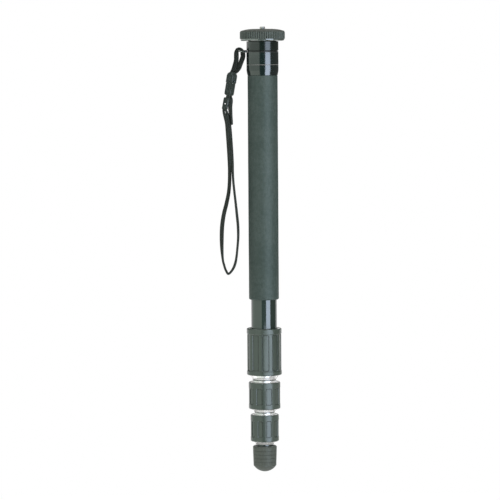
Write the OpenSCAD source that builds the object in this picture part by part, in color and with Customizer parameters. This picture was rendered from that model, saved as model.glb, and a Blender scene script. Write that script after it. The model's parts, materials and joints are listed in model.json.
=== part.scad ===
// Four-section twist-lock camera monopod, collapsed, with a wrist strap.
// The origin is the centre of the pad that the camera sits on, and +Z runs up the camera screw.

/* [Camera platform] */
// Diameter of the knurled platform
platform_d = 49.2; // [44:0.2:60]
// Height of the knurled rim
rim_h = 7.8; // [6.4:0.1:14]
// Height of the smooth band under the knurling
rim_band_h = 1.4; // [1:0.1:4]
// Height of the bevel under the band
rim_bevel_h = 0.8; // [0.4:0.1:2]
// How far the bevel under the band goes in
rim_bevel_in = 1.1; // [0.4:0.1:3]
// Bevel on the top edge of the rim
rim_top_bevel = 0.5; // [0.3:0.1:1.5]
// Ridges round the rim
knurl_count = 60; // [40:1:90]
// Depth of the grooves between the ridges
knurl_depth = 0.6; // [0.2:0.1:0.9]
// Diameter of the flat top of the rubber pad
pad_flat_d = 20; // [16:1:36]
// Drop from the flat top of the pad to its edge
pad_drop = 2.3; // [1.5:0.1:4]
// Thickness of the pad at its edge
pad_edge = 0.7; // [0.4:0.1:2]
// Diameter of the camera screw, a quarter of an inch
screw_d = 6.35; // [5:0.05:9.6]
// Length of the camera screw above the pad
screw_len = 3.2; // [2.6:0.1:6]
// Bevel on the tip of the camera screw
screw_tip = 0.9; // [0.3:0.1:1.2]
// Across the corners of the hex flange under the pad
flange_d = 16; // [13:0.5:22]
// Thickness of the hex flange
flange_t = 3; // [2:0.5:5]

/* [Head pivot] */
// Diameter of the shank that turns in the head cap
shank_d = 8; // [6:0.5:9]
// Thickness of the thrust washer under the platform
thrust_t = 0.5; // [0.4:0.1:1.5]
// Diameter of the washer above the pivot nut
pivot_washer_d = 15; // [12:0.5:17]
// Thickness of the washer above the pivot nut
pivot_washer_t = 1.2; // [0.8:0.1:1.6]
// Across the corners of the pivot nut
pivot_nut_d = 14; // [11:0.5:17]
// Height of the pivot nut
pivot_nut_h = 5; // [4:0.5:6.5]

/* [Neck] */
// Diameter of the neck
neck_d = 35; // [34:0.2:42]
// Height of the head cap above the strap ring groove
cap_h = 10; // [6:0.1:14]
// Height of the groove for the strap ring
groove_h = 1.7; // [1.6:0.1:4]
// Depth of the groove for the strap ring
groove_depth = 1.4; // [0.8:0.1:1.8]
// Height of the neck collar under the groove
neck_h = 25.3; // [22:0.1:40]
// Height of the taper that meets the grip
neck_taper_h = 5; // [2:0.5:8]
// Distance of the fine turned line below the groove
neck_line_drop = 13.9; // [8:0.1:15]
// Length of the plug of the head cap inside the tube
plug_len = 10; // [9:0.5:16]
// Diameter of the hollow in the plug
plug_bore = 18.5; // [18:0.5:20]
// Pins that hold the plug in the tube
cap_pin_count = 3; // [2:1:6]
// Diameter of those pins
cap_pin_d = 3; // [2:0.5:4]

/* [Grip] */
// Diameter of the foam grip
grip_d = 33; // [31:0.2:34]
// Length of the foam grip
grip_len = 245.8; // [150:0.2:320]
// Rounding of the lower edge of the grip
grip_edge = 1.6; // [0.5:0.1:2]
// Length of bare tube under the grip
bare_tube_len = 31.7; // [10:0.1:60]

/* [Tubes] */
// Diameter of the widest tube
tube_d = 28.2; // [27.6:0.2:30]
// Wall of every tube
tube_wall = 1.2; // [0.8:0.1:1.4]
// Room between a tube and the next one inside it
tube_gap = 0.6; // [0.5:0.05:0.8]
// Length of the guide bush at the top of an inner tube
bush_len = 26; // [15:1:40]
// Thickness of the lip of the guide bush over the end of its tube
bush_lip = 1.5; // [1:0.1:3]
// How much lower the top of each inner tube sits
tube_stagger = 4; // [2:0.5:10]
// Room between the head plug and the first inner tube
head_room = 1.6; // [1:0.1:5]

/* [Twist locks] */
// Length of the grip of the upper nut
upper_nut_h = 51.4; // [46:0.2:60]
// Length of the grip of the two lower nuts
lower_nut_h = 29.6; // [27:0.2:40]
// Thickness of a lock over its tube
lock_build = 5.1; // [4.9:0.05:6]
// Wall of the threaded lock base
base_wall = 1.65; // [1.3:0.05:1.8]
// Wall of the metal nut under its rubber grip
nut_wall = 1.65; // [1.3:0.05:1.8]
// Depth of the base inside the upper nut
upper_base_len = 26; // [18:0.5:30]
// Depth of the base inside a lower nut
lower_base_len = 13; // [10:0.5:14]
// Bright ring of a lower base that shows above its nut
base_ring_h = 2; // [0.5:0.1:4]
// Wall of that ring
base_ring_wall = 1.1; // [0.8:0.05:1.4]
// Thickness of the lip that stops the guide bush
stop_lip = 1.5; // [1:0.1:3]
// Length of the bright nose of the upper nut
upper_nose_h = 4.9; // [4.5:0.1:9]
// Length of the bright nose of a lower nut
lower_nose_h = 3.4; // [3.2:0.1:8]
// How far the top of a nose stays inside the grip's bands
nose_inset = 2.9; // [2.2:0.1:3.6]
// Wall at the tip of the nose
nose_tip = 0.75; // [0.5:0.05:1.2]
// Height of the collet's cone above the lower end of the nut
cone_rise = 6; // [5:0.2:9]
// Gap between a nose and the next piece down
nose_gap = 1; // [0.8:0.1:5]
// Slits in a collet
slit_count = 6; // [3:1:8]
// Width of a slit
slit_w = 1.2; // [0.6:0.1:2]

/* [Nut grips] */
// Moulded panels round a nut
panel_count = 10; // [6:1:14]
// Width of the ridge between two panels
ridge_w = 2.8; // [2:0.1:4.5]
// Depth of a panel
panel_depth = 0.7; // [0.2:0.05:0.8]
// Slope of a panel's walls, as width over depth
panel_draft = 0.9; // [0.2:0.1:1.2]
// Corner radius of a panel
panel_corner = 1.2; // [0.5:0.1:2]
// Plain band above the panels
top_band = 6; // [3:0.1:9]
// Plain band below the panels
bottom_band = 4.8; // [2:0.1:8]
// How far the ridges of the upper nut lie below its bands
ridge_drop = 0.5; // [0:0.05:0.6]
// Rounding of the edges of a nut grip
grip_round = 1.1; // [0.3:0.1:1.4]

/* [Foot] */
// Diameter of the rubber foot at its top
foot_top_d = 26.4; // [22:0.2:34]
// Diameter of the rubber foot above its dome
foot_low_d = 25.1; // [22:0.2:34]
// Height of the rubber foot
foot_h = 28.6; // [22:0.2:45]
// Height of its dome
dome_h = 7; // [3:0.5:9]
// Rubber under the end of the tube
sole_t = 9; // [8:0.5:12]
// Fine rings moulded round the foot
foot_ring_count = 4; // [0:1:6]
// Room between the lowest nose and the foot
foot_gap = 1.9; // [1:0.1:6]
// Length of the plug in the lowest tube
foot_plug_len = 18; // [8:1:40]
// Wall of that plug
foot_plug_wall = 2; // [1:0.1:3]

/* [Strap] */
// Diameter of the wire of the strap ring
wire_d = 1.3; // [1:0.1:1.5]
// Distance from the axis to the end of the bail
bail_reach = 25.6; // [25:0.2:32]
// Half the width of the bail
bail_half = 3.2; // [3:0.1:3.4]
// Width of the braided hanger
braid_w = 4.4; // [3:0.1:4.5]
// Thickness of the braided hanger
braid_t = 3; // [2:0.1:3.2]
// Width of the wrist webbing
web_w = 4.5; // [3:0.1:4.6]
// Thickness of the wrist webbing
web_t = 2.1; // [1:0.1:2.2]
// Width of the buckle
buckle_w = 11.4; // [11:0.2:16]
// Thickness of the buckle
buckle_t = 7; // [6.6:0.1:10]
// Length of the buckle socket
socket_len = 12.2; // [11.4:0.1:14]
// Length of the buckle plug below the socket
plug_body_len = 13.6; // [12.4:0.1:15]
// Width of the buckle plug
buckle_plug_w = 10.4; // [9:0.2:16]
// Width of the slider
slider_w = 6.4; // [6.2:0.1:9]
// Length of the slider
slider_len = 13.2; // [12.8:0.1:13.6]
// Thickness of the slider
slider_t = 6; // [5.8:0.1:9]

/* [Clearances] */
// Radial glue line between pieces that are bonded or pressed together
bond = 0.05; // [0.02:0.01:0.1]
// Radial clearance of a running fit
run_fit = 0.06; // [0.02:0.01:0.1]
// Free room between pieces that move past each other
free_gap = 0.3; // [0.25:0.05:0.35]
// Radial room in a screw thread
thread_gap = 0.1; // [0.05:0.01:0.15]
// Axial play where flat faces turn on each other
end_play = 0.1; // [0.05:0.05:0.3]

/* [Hidden] */
$fn = 96;
locks = [1, 2, 3];
inner_tubes = [2, 3, 4];
small_bevel = 0.3;
// How far a hole runs past the faces that it opens
over = 1;

// Head levels, down from the top of the pad
pad_t = pad_drop + pad_edge;
rim_top_z = -pad_t;
band_top_z = rim_top_z - rim_h;
platform_bottom_z = band_top_z - rim_band_h - rim_bevel_h;
cap_top_z = platform_bottom_z - thrust_t;
groove_top_z = cap_top_z - cap_h;
groove_bottom_z = groove_top_z - groove_h;
ring_z = (groove_top_z + groove_bottom_z) / 2;
plug_bottom_z = groove_bottom_z - plug_len;
cap_pin_z = groove_bottom_z - plug_len / 2;
neck_bottom_z = groove_bottom_z - neck_h;
grip_bottom_z = neck_bottom_z - grip_len;
pivot_washer_top_z = groove_top_z - end_play;
pivot_nut_top_z = pivot_washer_top_z - pivot_washer_t;
shank_bottom_z = pivot_nut_top_z - pivot_nut_h;

// Head radii
platform_r = platform_d / 2;
pad_r = platform_r - rim_top_bevel;
screw_r = screw_d / 2;
screw_relief_r = screw_r - small_bevel;
shank_r = shank_d / 2;
neck_r = neck_d / 2;
thrust_edge = 2;
thrust_r = neck_r - thrust_edge;
groove_r = neck_r - groove_depth;
grip_r = grip_d / 2;

// Tube radii: tube 1 is the widest
function tube_r(k) = tube_d / 2 - (k - 1) * (tube_wall + tube_gap);
function tube_bore_r(k) = tube_r(k) - tube_wall;

// Lock levels: lock k sits at the lower end of tube k and holds tube k + 1
function nut_h(k) = k == 1 ? upper_nut_h : lower_nut_h;
function nose_h(k) = k == 1 ? upper_nose_h : lower_nose_h;
function base_top_z(k) = k == 1 ? grip_bottom_z - bare_tube_len : nose_bottom_z(k - 1) - nose_gap;
function nut_top_z(k) = base_top_z(k) - (k == 1 ? 0 : base_ring_h);
function nut_bottom_z(k) = nut_top_z(k) - nut_h(k);
function nose_bottom_z(k) = nut_bottom_z(k) - nose_h(k);
function base_bottom_z(k) = nut_top_z(k) - (k == 1 ? upper_base_len : lower_base_len);
function cone_top_z(k) = nut_bottom_z(k) + cone_rise;
function cone_bottom_z(k) = nose_bottom_z(k) + nose_land;
nose_land = 2;
collet_lift = 3;
slit_share = 0.7;

// Lock radii, from the tube outwards
function base_r(k) = tube_r(k) + base_wall;
function nut_bore_r(k) = base_r(k) + thread_gap;
function nut_r(k) = nut_bore_r(k) + nut_wall;
function lock_r(k) = tube_r(k) + lock_build;
function nose_bore_r(k) = tube_r(k + 1) + free_gap;
function cone_r(k, z) =
    let (share = (cone_top_z(k) - z) / (cone_top_z(k) - cone_bottom_z(k)))
    nut_bore_r(k) + (nose_bore_r(k) - nut_bore_r(k)) * share;

// Tube ends
foot_top_z = nose_bottom_z(3) - foot_gap;
foot_bottom_z = foot_top_z - foot_h;
function bush_top_z(k) = plug_bottom_z - head_room - (k - 2) * tube_stagger;
function tube_top_z(k) = k == 1 ? groove_bottom_z : bush_top_z(k) - bush_lip;
function tube_bottom_z(k) = k == 4 ? foot_bottom_z + sole_t : base_bottom_z(k) + stop_lip;

// Turn of the panels from the front for each nut, in degrees
panel_phase = [4, 16, 17];
function ridge_r(k) = lock_r(k) - (k == 1 ? ridge_drop : 0);

// Strap routes as [x, y, z, twist], from the end of the bail. At twist 0 the width lies along Y.
wire_r = wire_d / 2;
bail_end = [-bail_reach, 0, ring_z];
hanger_route = [
    [-9.4, 0, -26, 0], [-8.2, 0, -23.4, 30], [-6, 0, -20, 75], [-4.5, 0, -15.2, 90],
    [-3.2, 0, -10, 90], [-3, 0, -5, 75], [-3.2, 0, -0.6, 20], [-2.1, 0, 2.2, 0],
    [0, 0, 3, 0], [2.1, 0, 2.2, 0], [3.6, 0, -0.2, 20], [4.3, 0, -3.5, 70],
    [3.7, 0, -6.5, 90], [2.3, 0, -10.2, 90], [0.8, 0, -14.2, 90], [-0.7, 0, -18, 85],
    [-2.9, 0, -21, 60], [-5, 0, -23.6, 20], [-5.8, 0, -26.5, 0]];
link_route = [
    [-11.6, -1.25, -45.3, 90], [-12.2, -1.2, -47.9, 90], [-13.75, -0.55, -51, 90],
    [-14.25, -0.2, -53.6, 90]];
tail_route = [
    [-10.5, 1.3, -45.6, 90], [-10.45, 1.35, -47.9, 90], [-8.55, 1.2, -50.2, 90], [-7.95, 0.9, -52.4, 90],
    [-8.15, 0.4, -55.2, 90], [-8.6, 0, -58.4, 90], [-8.9, 0, -61.6, 80], [-8.7, 0, -65, 45],
    [-8.3, 0, -69, 12], [-8, 0, -74, 0], [-7.9, 0, -80.2, 0]];
loop_route = [
    [-16.7, 0, -59.5, 0], [-17.4, 0, -63, 0], [-17, 0, -66.5, 15], [-15.5, 0, -71.5, 35],
    [-13.95, 0, -79, 28], [-12.95, 0, -88, 22], [-12.15, 0, -100, 22], [-11.4, 0, -112, 22],
    [-10.9, 0.3, -124, 18], [-10.9, 1, -132, 20], [-11.2, 3, -143, 35], [-12.5, 4.5, -155, 45],
    [-15, 5.5, -167, 55], [-18, 6, -179, 65], [-19.8, 6, -191, 80], [-20.4, 6, -203.5, 65],
    [-20.3, 5, -216, 35], [-19.4, 4, -228, 5], [-17.9, 3, -234.5, 0], [-16.2, 2, -239.6, 0],
    [-13.3, 0, -243.6, 0], [-9, -2, -239.4, 10], [-6, -3, -233, 15], [-4.3, -4, -225, 5],
    [-3, -5, -213, 0], [-2.2, -6, -202, 10], [-2.4, -6, -190, 15], [-3.4, -5.5, -179, 15],
    [-4.6, -5, -167, 8], [-5.9, -4, -155, 5], [-7.1, -2.5, -143, 5], [-7.8, -1, -132, 12],
    [-7.95, -0.2, -124, 18], [-8.45, 0, -112, 22], [-9.15, 0, -100, 22], [-9.95, 0, -88, 22],
    [-10.95, 0, -79, 28], [-12, 0, -72, 35], [-13.5, 0, -66.8, 15], [-14.9, 0, -63.3, 0],
    [-14.2, 0, -59.9, 0]];

// Where the buckle and the slider hang, from the end of the bail, and how they lean
buckle_at = [-7.1, 0, -22.5];
buckle_lean = 9.7;
slider_at = [-13.7, 0, -50.3];
slider_lean = 10.7;

// Pockets that the straps run into: room round a strap, spread across its thickness, and depth
strap_room = 0.35;
hanger_spread = 3.6;
web_spread = 4.2;
link_spread = 1.8;
loop_spread = 1.2;
pocket_depth = 5;
slider_pocket_depth = 4.4;

// Tongue and barbed arms of the buckle plug, and the wall, side windows and pinhole of its socket
tongue_w = 2.6;
tongue_len = 5.4;
arm_w = 1.6;
arm_t = 3.4;
arm_root = 1.2;
barb_out = 0.5;
barb_top = 3.8;
barb_h = 1.6;
socket_wall = 1.2;
window_h = 3.6;
window_low = 1.4;
pinhole_d = 1.5;
pinhole_at = [2.9, 0, -9.1];

// Gap between the socket and the body of its plug, and the roundings of both away from it and at it
parting = 0.12;
socket_round = 4.5;
socket_edge = 0.8;
plug_round = 2.2;
plug_edge = 0.6;

// Thumb recess in each face of the buckle plug, and the rivet hole of the slider
plug_step = 0.2;
recess_edge = 1.7;
recess_drop = 2.2;
recess_h = 4.6;
recess_t = 0.8;
slider_round = 1.2;
rivet_d = 1.3;
rivet_at = [-0.5, 0, -6.9];

// Points on an arc, evenly spaced
function arc(centre, r, from, to, steps = 5) =
    [for (i = [0 : steps]) let (a = from + (to - from) * i / steps) centre + r * [cos(a), sin(a)]];

// Outline of a plate that hangs down from y = 0
function plate(w, h, r_top, r_bottom) = concat(
    arc([w / 2 - r_top, -r_top], r_top, 0, 90),
    arc([r_top - w / 2, -r_top], r_top, 90, 180),
    arc([r_bottom - w / 2, r_bottom - h], r_bottom, 180, 270),
    arc([w / 2 - r_bottom, r_bottom - h], r_bottom, 270, 360));

// Smooth curve through the route's points, with some steps between each pair
function spline(route, steps) = [
    for (i = [0 : len(route) - 2], s = [0 : i == len(route) - 2 ? steps : steps - 1])
        let (a = route[max(i - 1, 0)], b = route[i], c = route[i + 1],
             d = route[min(i + 2, len(route) - 1)], t = s / steps)
        b + ((c - a) * t + (2 * a - 5 * b + 4 * c - d) * t ^ 2 + (3 * b - a - 3 * c + d) * t ^ 3) / 2];
function place(p) = [p[0], p[1], p[2]];
function unit(v) = v / norm(v);

// Corners of one ring of a flat cord: an eight-sided section that turns with the twist
cord_corners = [
    [1, -0.5], [1, 0.5], [0.7, 1], [-0.7, 1], [-1, 0.5], [-1, -0.5], [-0.7, -1], [0.7, -1]];
function cord_ring(p, along, w, t) =
    let (side = unit(cross([0, 1, 0], along)), face = cross(along, side),
         wide = face * cos(p[3]) + side * sin(p[3]), thick = side * cos(p[3]) - face * sin(p[3]))
    [for (c = cord_corners) place(p) + wide * c[0] * w / 2 + thick * c[1] * t / 2];

// One closed cord along a route
module cord(route, w, t, steps = 2) {
    path = spline(route, steps);
    last = len(path) - 1;
    sides = len(cord_corners);
    points = [for (i = [0 : last])
        each cord_ring(path[i], unit(place(path[min(i + 1, last)]) - place(path[max(i - 1, 0)])), w, t)];
    walls = [for (i = [0 : last - 1], j = [0 : sides - 1])
        let (a = i * sides + j, b = i * sides + (j + 1) % sides)
        each [[a, b, b + sides], [a, b + sides, a + sides]]];
    start = [for (j = [1 : sides - 2]) [0, j + 1, j]];
    end = [for (j = [1 : sides - 2]) [last * sides, last * sides + j, last * sides + j + 1]];
    translate(bail_end)
        polyhedron(points, concat(walls, start, end));
}

module turned(outline) {
    rotate_extrude()
        polygon(outline);
}

// A plate of the strap hardware: its outline in the XZ plane, with its thickness centred on Y
module upright(outline, t) {
    rotate([90, 0, 0])
        linear_extrude(t, center = true)
            polygon(outline);
}

// A box that hangs down from its top centre
module pocket(w, t, top, depth) {
    translate([-w / 2, -t / 2, top - depth])
        cube([w, t, depth]);
}

module on_buckle() {
    translate(bail_end + buckle_at)
        rotate([0, buckle_lean, 0])
            children();
}

module on_slider() {
    translate(bail_end + slider_at)
        rotate([0, slider_lean, 0])
            children();
}

// Camera screw: stud, hex flange and the shank that turns in the head cap
module camera_screw() {
    flange_z = rim_top_z - flange_t;
    color("silver") {
        turned([[0, screw_len], [screw_r - screw_tip, screw_len], [screw_r, screw_len - screw_tip],
            [screw_r, 0], [screw_relief_r, 0], [screw_relief_r, flange_z], [shank_r, flange_z],
            [shank_r, shank_bottom_z], [0, shank_bottom_z]]);
        translate([0, 0, flange_z])
            cylinder(d = flange_d, h = flange_t, $fn = 6);
    }
}

// Rubber pad, flat in the middle and crowned down to its edge
module platform_pad() {
    flat_r = pad_flat_d / 2;
    reach = pad_r - flat_r;
    crown_r = (reach ^ 2 + pad_drop ^ 2) / (2 * pad_drop);
    bore_r = screw_r + 2 * free_gap;
    color("#2b2522")
        turned(concat(
            [[bore_r, rim_top_z], [bore_r, 0]],
            arc([flat_r, -crown_r], crown_r, 90, 90 - asin(reach / crown_r), 8),
            [[pad_r, rim_top_z]]));
}

// Knurled platform, bevelled underneath, with a hex seat for the flange of the screw
module camera_platform() {
    pitch = 360 / knurl_count;
    groove_r = platform_r - knurl_depth;
    band_r = groove_r - bond;
    band_bottom_z = platform_bottom_z + rim_bevel_h;
    reach_r = platform_r + over;
    // One ridge as [share of the pitch, radius]
    ridge = [[0, platform_r], [0.45, platform_r], [0.72, groove_r]];
    color("#232425")
        difference() {
            union() {
                intersection() {
                    translate([0, 0, band_top_z])
                        linear_extrude(rim_h)
                            polygon([for (i = [0 : knurl_count - 1], c = ridge)
                                let (a = (i + c[0]) * pitch) c[1] * [cos(a), sin(a)]]);
                    turned([[0, band_top_z - over], [reach_r, band_top_z - over],
                        [reach_r, rim_top_z - reach_r + pad_r], [pad_r, rim_top_z], [0, rim_top_z]]);
                }
                turned([[0, platform_bottom_z], [band_r - rim_bevel_in, platform_bottom_z],
                    [band_r, band_bottom_z], [band_r, band_top_z + over], [0, band_top_z + over]]);
            }
            translate([0, 0, rim_top_z - flange_t])
                cylinder(d = flange_d + 2 * bond, h = flange_t + over, $fn = 6);
            translate([0, 0, platform_bottom_z - over])
                cylinder(r = shank_r + bond, h = rim_top_z - platform_bottom_z);
        }
}

module pivot_washer() {
    color("silver")
        translate([0, 0, pivot_nut_top_z])
            difference() {
                cylinder(d = pivot_washer_d, h = pivot_washer_t);
                translate([0, 0, -over])
                    cylinder(r = shank_r + bond, h = pivot_washer_t + 2 * over);
            }
}

module pivot_nut() {
    color("silver")
        translate([0, 0, shank_bottom_z])
            difference() {
                cylinder(d = pivot_nut_d, h = pivot_nut_h, $fn = 6);
                translate([0, 0, -over])
                    cylinder(r = shank_r + bond, h = pivot_nut_h + 2 * over);
            }
}

module thrust_washer() {
    color("ivory")
        translate([0, 0, cap_top_z])
            difference() {
                cylinder(r = thrust_r, h = thrust_t);
                translate([0, 0, -over])
                    cylinder(r = shank_r + free_gap, h = thrust_t + 2 * over);
            }
}

// Row of radial pins through the tube into the plug, also used to drill their holes
module radial_pins(d, from, to) {
    for (i = [0 : cap_pin_count - 1])
        rotate([0, 0, (i + 0.25) * 360 / cap_pin_count])
            translate([from, 0, cap_pin_z])
                rotate([0, 90, 0])
                    cylinder(d = d, h = to - from);
}

module cap_pins() {
    color("silver")
        radial_pins(cap_pin_d, plug_bore / 2 + small_bevel, tube_r(1) - small_bevel);
}

// Head cap: the shoulder above the ring groove, the groove's floor and the hollow plug
module head_cap() {
    plug_r = tube_bore_r(1) - bond;
    bore_r = shank_r + run_fit;
    hollow_r = plug_bore / 2;
    color("#202123")
        difference() {
            turned([[bore_r, cap_top_z], [neck_r - small_bevel, cap_top_z],
                [neck_r, cap_top_z - small_bevel], [neck_r, groove_top_z + small_bevel],
                [neck_r - small_bevel, groove_top_z], [groove_r, groove_top_z],
                [groove_r, groove_bottom_z], [plug_r, groove_bottom_z], [plug_r, plug_bottom_z],
                [hollow_r, plug_bottom_z], [hollow_r, groove_top_z], [bore_r, groove_top_z]]);
            radial_pins(cap_pin_d + 2 * bond, hollow_r - over, plug_r + over);
        }
}

// Neck collar with a fine turned line and a taper down to the grip
module neck_collar() {
    bore_r = tube_r(1) + bond;
    line_z = groove_bottom_z - neck_line_drop;
    color("#161719")
        turned([[bore_r, groove_bottom_z], [neck_r - small_bevel, groove_bottom_z],
            [neck_r, groove_bottom_z - small_bevel], [neck_r, line_z + small_bevel],
            [neck_r - small_bevel, line_z], [neck_r, line_z - small_bevel],
            [neck_r, neck_bottom_z + neck_taper_h], [grip_r, neck_bottom_z], [bore_r, neck_bottom_z]]);
}

module foam_grip() {
    bore_r = tube_r(1) + bond;
    color("#4c524f")
        turned(concat(
            [[bore_r, neck_bottom_z], [bore_r, grip_bottom_z]],
            arc([grip_r - grip_edge, grip_bottom_z + grip_edge], grip_edge, 270, 360),
            [[grip_r, neck_bottom_z]]));
}

module tube(k) {
    color("#0f1012")
        difference() {
            turned([[tube_bore_r(k), tube_top_z(k)], [tube_r(k), tube_top_z(k)],
                [tube_r(k), tube_bottom_z(k)], [tube_bore_r(k), tube_bottom_z(k)]]);
            if (k == 1)
                radial_pins(cap_pin_d + 2 * bond, tube_bore_r(k) - over, tube_r(k) + over);
        }
}

// Guide bush: a thin sleeve on the top of an inner tube that runs in the bore of the tube outside it
module guide_bush(k) {
    run_r = tube_bore_r(k - 1) - run_fit;
    seat_r = tube_r(k) + bond;
    bottom_z = bush_top_z(k) - bush_len;
    color("white")
        turned([[tube_bore_r(k), bush_top_z(k)], [run_r, bush_top_z(k)], [run_r, bottom_z],
            [seat_r, bottom_z], [seat_r, tube_top_z(k)], [tube_bore_r(k), tube_top_z(k)]]);
}

// Lock base: the threaded sleeve on the lower end of a tube, with the lip that stops the guide bush
module lock_base(k) {
    seat_r = tube_r(k) + bond;
    ring_r = tube_r(k) + base_ring_wall;
    step_z = nut_top_z(k) - small_bevel * 2;
    lip_r = tube_r(k + 1) + free_gap;
    color(k == 1 ? "#1a1b1d" : "silver")
        turned([[seat_r, base_top_z(k)], [ring_r - small_bevel, base_top_z(k)],
            [ring_r, base_top_z(k) - small_bevel], [ring_r, step_z], [base_r(k), step_z],
            [base_r(k), base_bottom_z(k)], [lip_r, base_bottom_z(k)], [lip_r, tube_bottom_z(k)],
            [seat_r, tube_bottom_z(k)]]);
}

// Collet: a slit sleeve that the cone of the nut squeezes onto the tube
module collet(k) {
    top_z = base_bottom_z(k) - end_play;
    end_z = cone_bottom_z(k) + collet_lift;
    grip_bore_r = tube_r(k + 1) + run_fit;
    body_r = nut_bore_r(k) - free_gap;
    end_r = cone_r(k, end_z) - free_gap;
    slit_len = (top_z - end_z) * slit_share;
    color("ivory")
        difference() {
            turned([[grip_bore_r, top_z], [body_r, top_z], [body_r, cone_top_z(k)], [end_r, end_z],
                [grip_bore_r, end_z]]);
            for (i = [0 : slit_count - 1])
                rotate([0, 0, i * 360 / slit_count])
                    translate([0, -slit_w / 2, end_z - over])
                        cube([body_r + over, slit_w, slit_len + over]);
        }
}

// Metal nut: its bore screws on the base, its cone squeezes the collet and its nose shows below the grip
module lock_nut(k) {
    nose_top_r = lock_r(k) - nose_inset;
    nose_low_r = nose_bore_r(k) + nose_tip;
    nose_top_z = nut_bottom_z(k) - bond;
    top_z = nut_top_z(k) - small_bevel;
    color("gainsboro")
        turned([[nut_bore_r(k), top_z], [nut_r(k), top_z], [nut_r(k), nose_top_z],
            [nose_top_r, nose_top_z], [nose_low_r, nose_bottom_z(k)],
            [nose_bore_r(k), nose_bottom_z(k)], [nose_bore_r(k), cone_bottom_z(k)],
            [nut_bore_r(k), cone_top_z(k)]]);
}

// Rubber grip of a nut: rounded bands with a ring of shallow panels between ridges
module nut_grip(k) {
    bore_r = nut_r(k) + bond;
    top = nut_top_z(k);
    low = nut_bottom_z(k);
    edge = min(grip_round, lock_r(k) - bore_r - bond);
    panel_top_z = top - top_band;
    panel_low_z = low + bottom_band;
    floor_r = ridge_r(k) - panel_depth;
    ridge_angle = ridge_w / ridge_r(k) * 180 / PI;
    panel_w = 2 * ridge_r(k) * sin((360 / panel_count - ridge_angle) / 2);
    panel_h = panel_top_z - panel_low_z;
    // The cutter of a panel widens outwards, from inside the floor to outside the bands
    cut_from = floor_r * cos(180 / panel_count);
    cut_len = lock_r(k) + over - cut_from;
    start_w = panel_w - 2 * panel_draft * (ridge_r(k) - cut_from);
    start_h = panel_h - 2 * panel_draft * (ridge_r(k) - cut_from);
    spread = 2 * panel_draft * cut_len;
    panel = plate(start_w, start_h, panel_corner, panel_corner);
    slope = lock_r(k) - ridge_r(k);
    color("#2e3030")
        difference() {
            turned(concat(
                [[bore_r, low]],
                arc([lock_r(k) - edge, low + edge], edge, 270, 360),
                [[lock_r(k), panel_low_z - slope], [ridge_r(k), panel_low_z], [ridge_r(k), panel_top_z],
                    [lock_r(k), panel_top_z + slope]],
                arc([lock_r(k) - edge, top - edge], edge, 0, 90),
                [[bore_r, top]]));
            for (i = [0 : panel_count - 1])
                rotate([0, 0, panel_phase[k - 1] - 90 + i * 360 / panel_count])
                    difference() {
                        translate([cut_from, 0, (panel_top_z + panel_low_z) / 2])
                            rotate([90, 0, 90])
                                linear_extrude(cut_len, slices = 1,
                                    scale = [1 + spread / start_w, 1 + spread / start_h])
                                    translate([0, start_h / 2])
                                        polygon(panel);
                        translate([0, 0, low])
                            cylinder(r = floor_r, h = top - low);
                    }
        }
}

// Rubber foot: slightly tapered, finely ringed, with a domed sole
module rubber_foot() {
    bore_r = tube_r(4) + bond;
    top_r = foot_top_d / 2;
    low_r = foot_low_d / 2;
    dome_r = (low_r ^ 2 + dome_h ^ 2) / (2 * dome_h);
    top_bevel = 1;
    side_top_z = foot_top_z - top_bevel;
    side_low_z = foot_bottom_z + dome_h;
    pitch = (side_top_z - side_low_z) / (foot_ring_count + 1);
    color("#1d1e1f")
        turned(concat(
            arc([0, foot_bottom_z + dome_r], dome_r, -90, asin(low_r / dome_r) - 90, 10),
            [for (i = [1 : 1 : foot_ring_count], c = [[-1, 0], [0, 1], [1, 0]])
                let (z = side_low_z + i * pitch + c[0] * small_bevel,
                     r = low_r + (top_r - low_r) * (z - side_low_z) / (side_top_z - side_low_z))
                [r - c[1] * small_bevel, z]],
            [[top_r, side_top_z], [top_r - top_bevel, foot_top_z], [bore_r, foot_top_z],
                [bore_r, tube_bottom_z(4)], [0, tube_bottom_z(4)]]));
}

module foot_plug() {
    outer_r = tube_bore_r(4) - bond;
    low = tube_bottom_z(4);
    color("#3a3a3a")
        turned([[0, low], [outer_r, low], [outer_r, low + foot_plug_len],
            [outer_r - foot_plug_wall, low + foot_plug_len],
            [outer_r - foot_plug_wall, low + foot_plug_wall], [0, low + foot_plug_wall]]);
}

// Strap ring: a wire ring in the neck groove with a bail bent out of it
module strap_ring() {
    ring_r = groove_r + run_fit + wire_r;
    leg_r = wire_r - bond;
    leg_from = sqrt(ring_r ^ 2 - bail_half ^ 2);
    bend_x = bail_reach - bail_half;
    color("silver")
        translate([0, 0, ring_z]) {
            rotate_extrude()
                translate([ring_r, 0])
                    circle(wire_r);
            for (side = [-1, 1])
                translate([-bend_x, side * bail_half, 0])
                    rotate([0, 90, 0])
                        cylinder(r = leg_r, h = bend_x - leg_from);
            translate([-bend_x, 0, 0])
                rotate([0, 0, 90])
                    rotate_extrude(angle = 180)
                        translate([bail_half, 0])
                            circle(leg_r);
        }
}

module strap_hanger() {
    color("#1b1c1d")
        cord(hanger_route, braid_w, braid_t);
}

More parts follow.
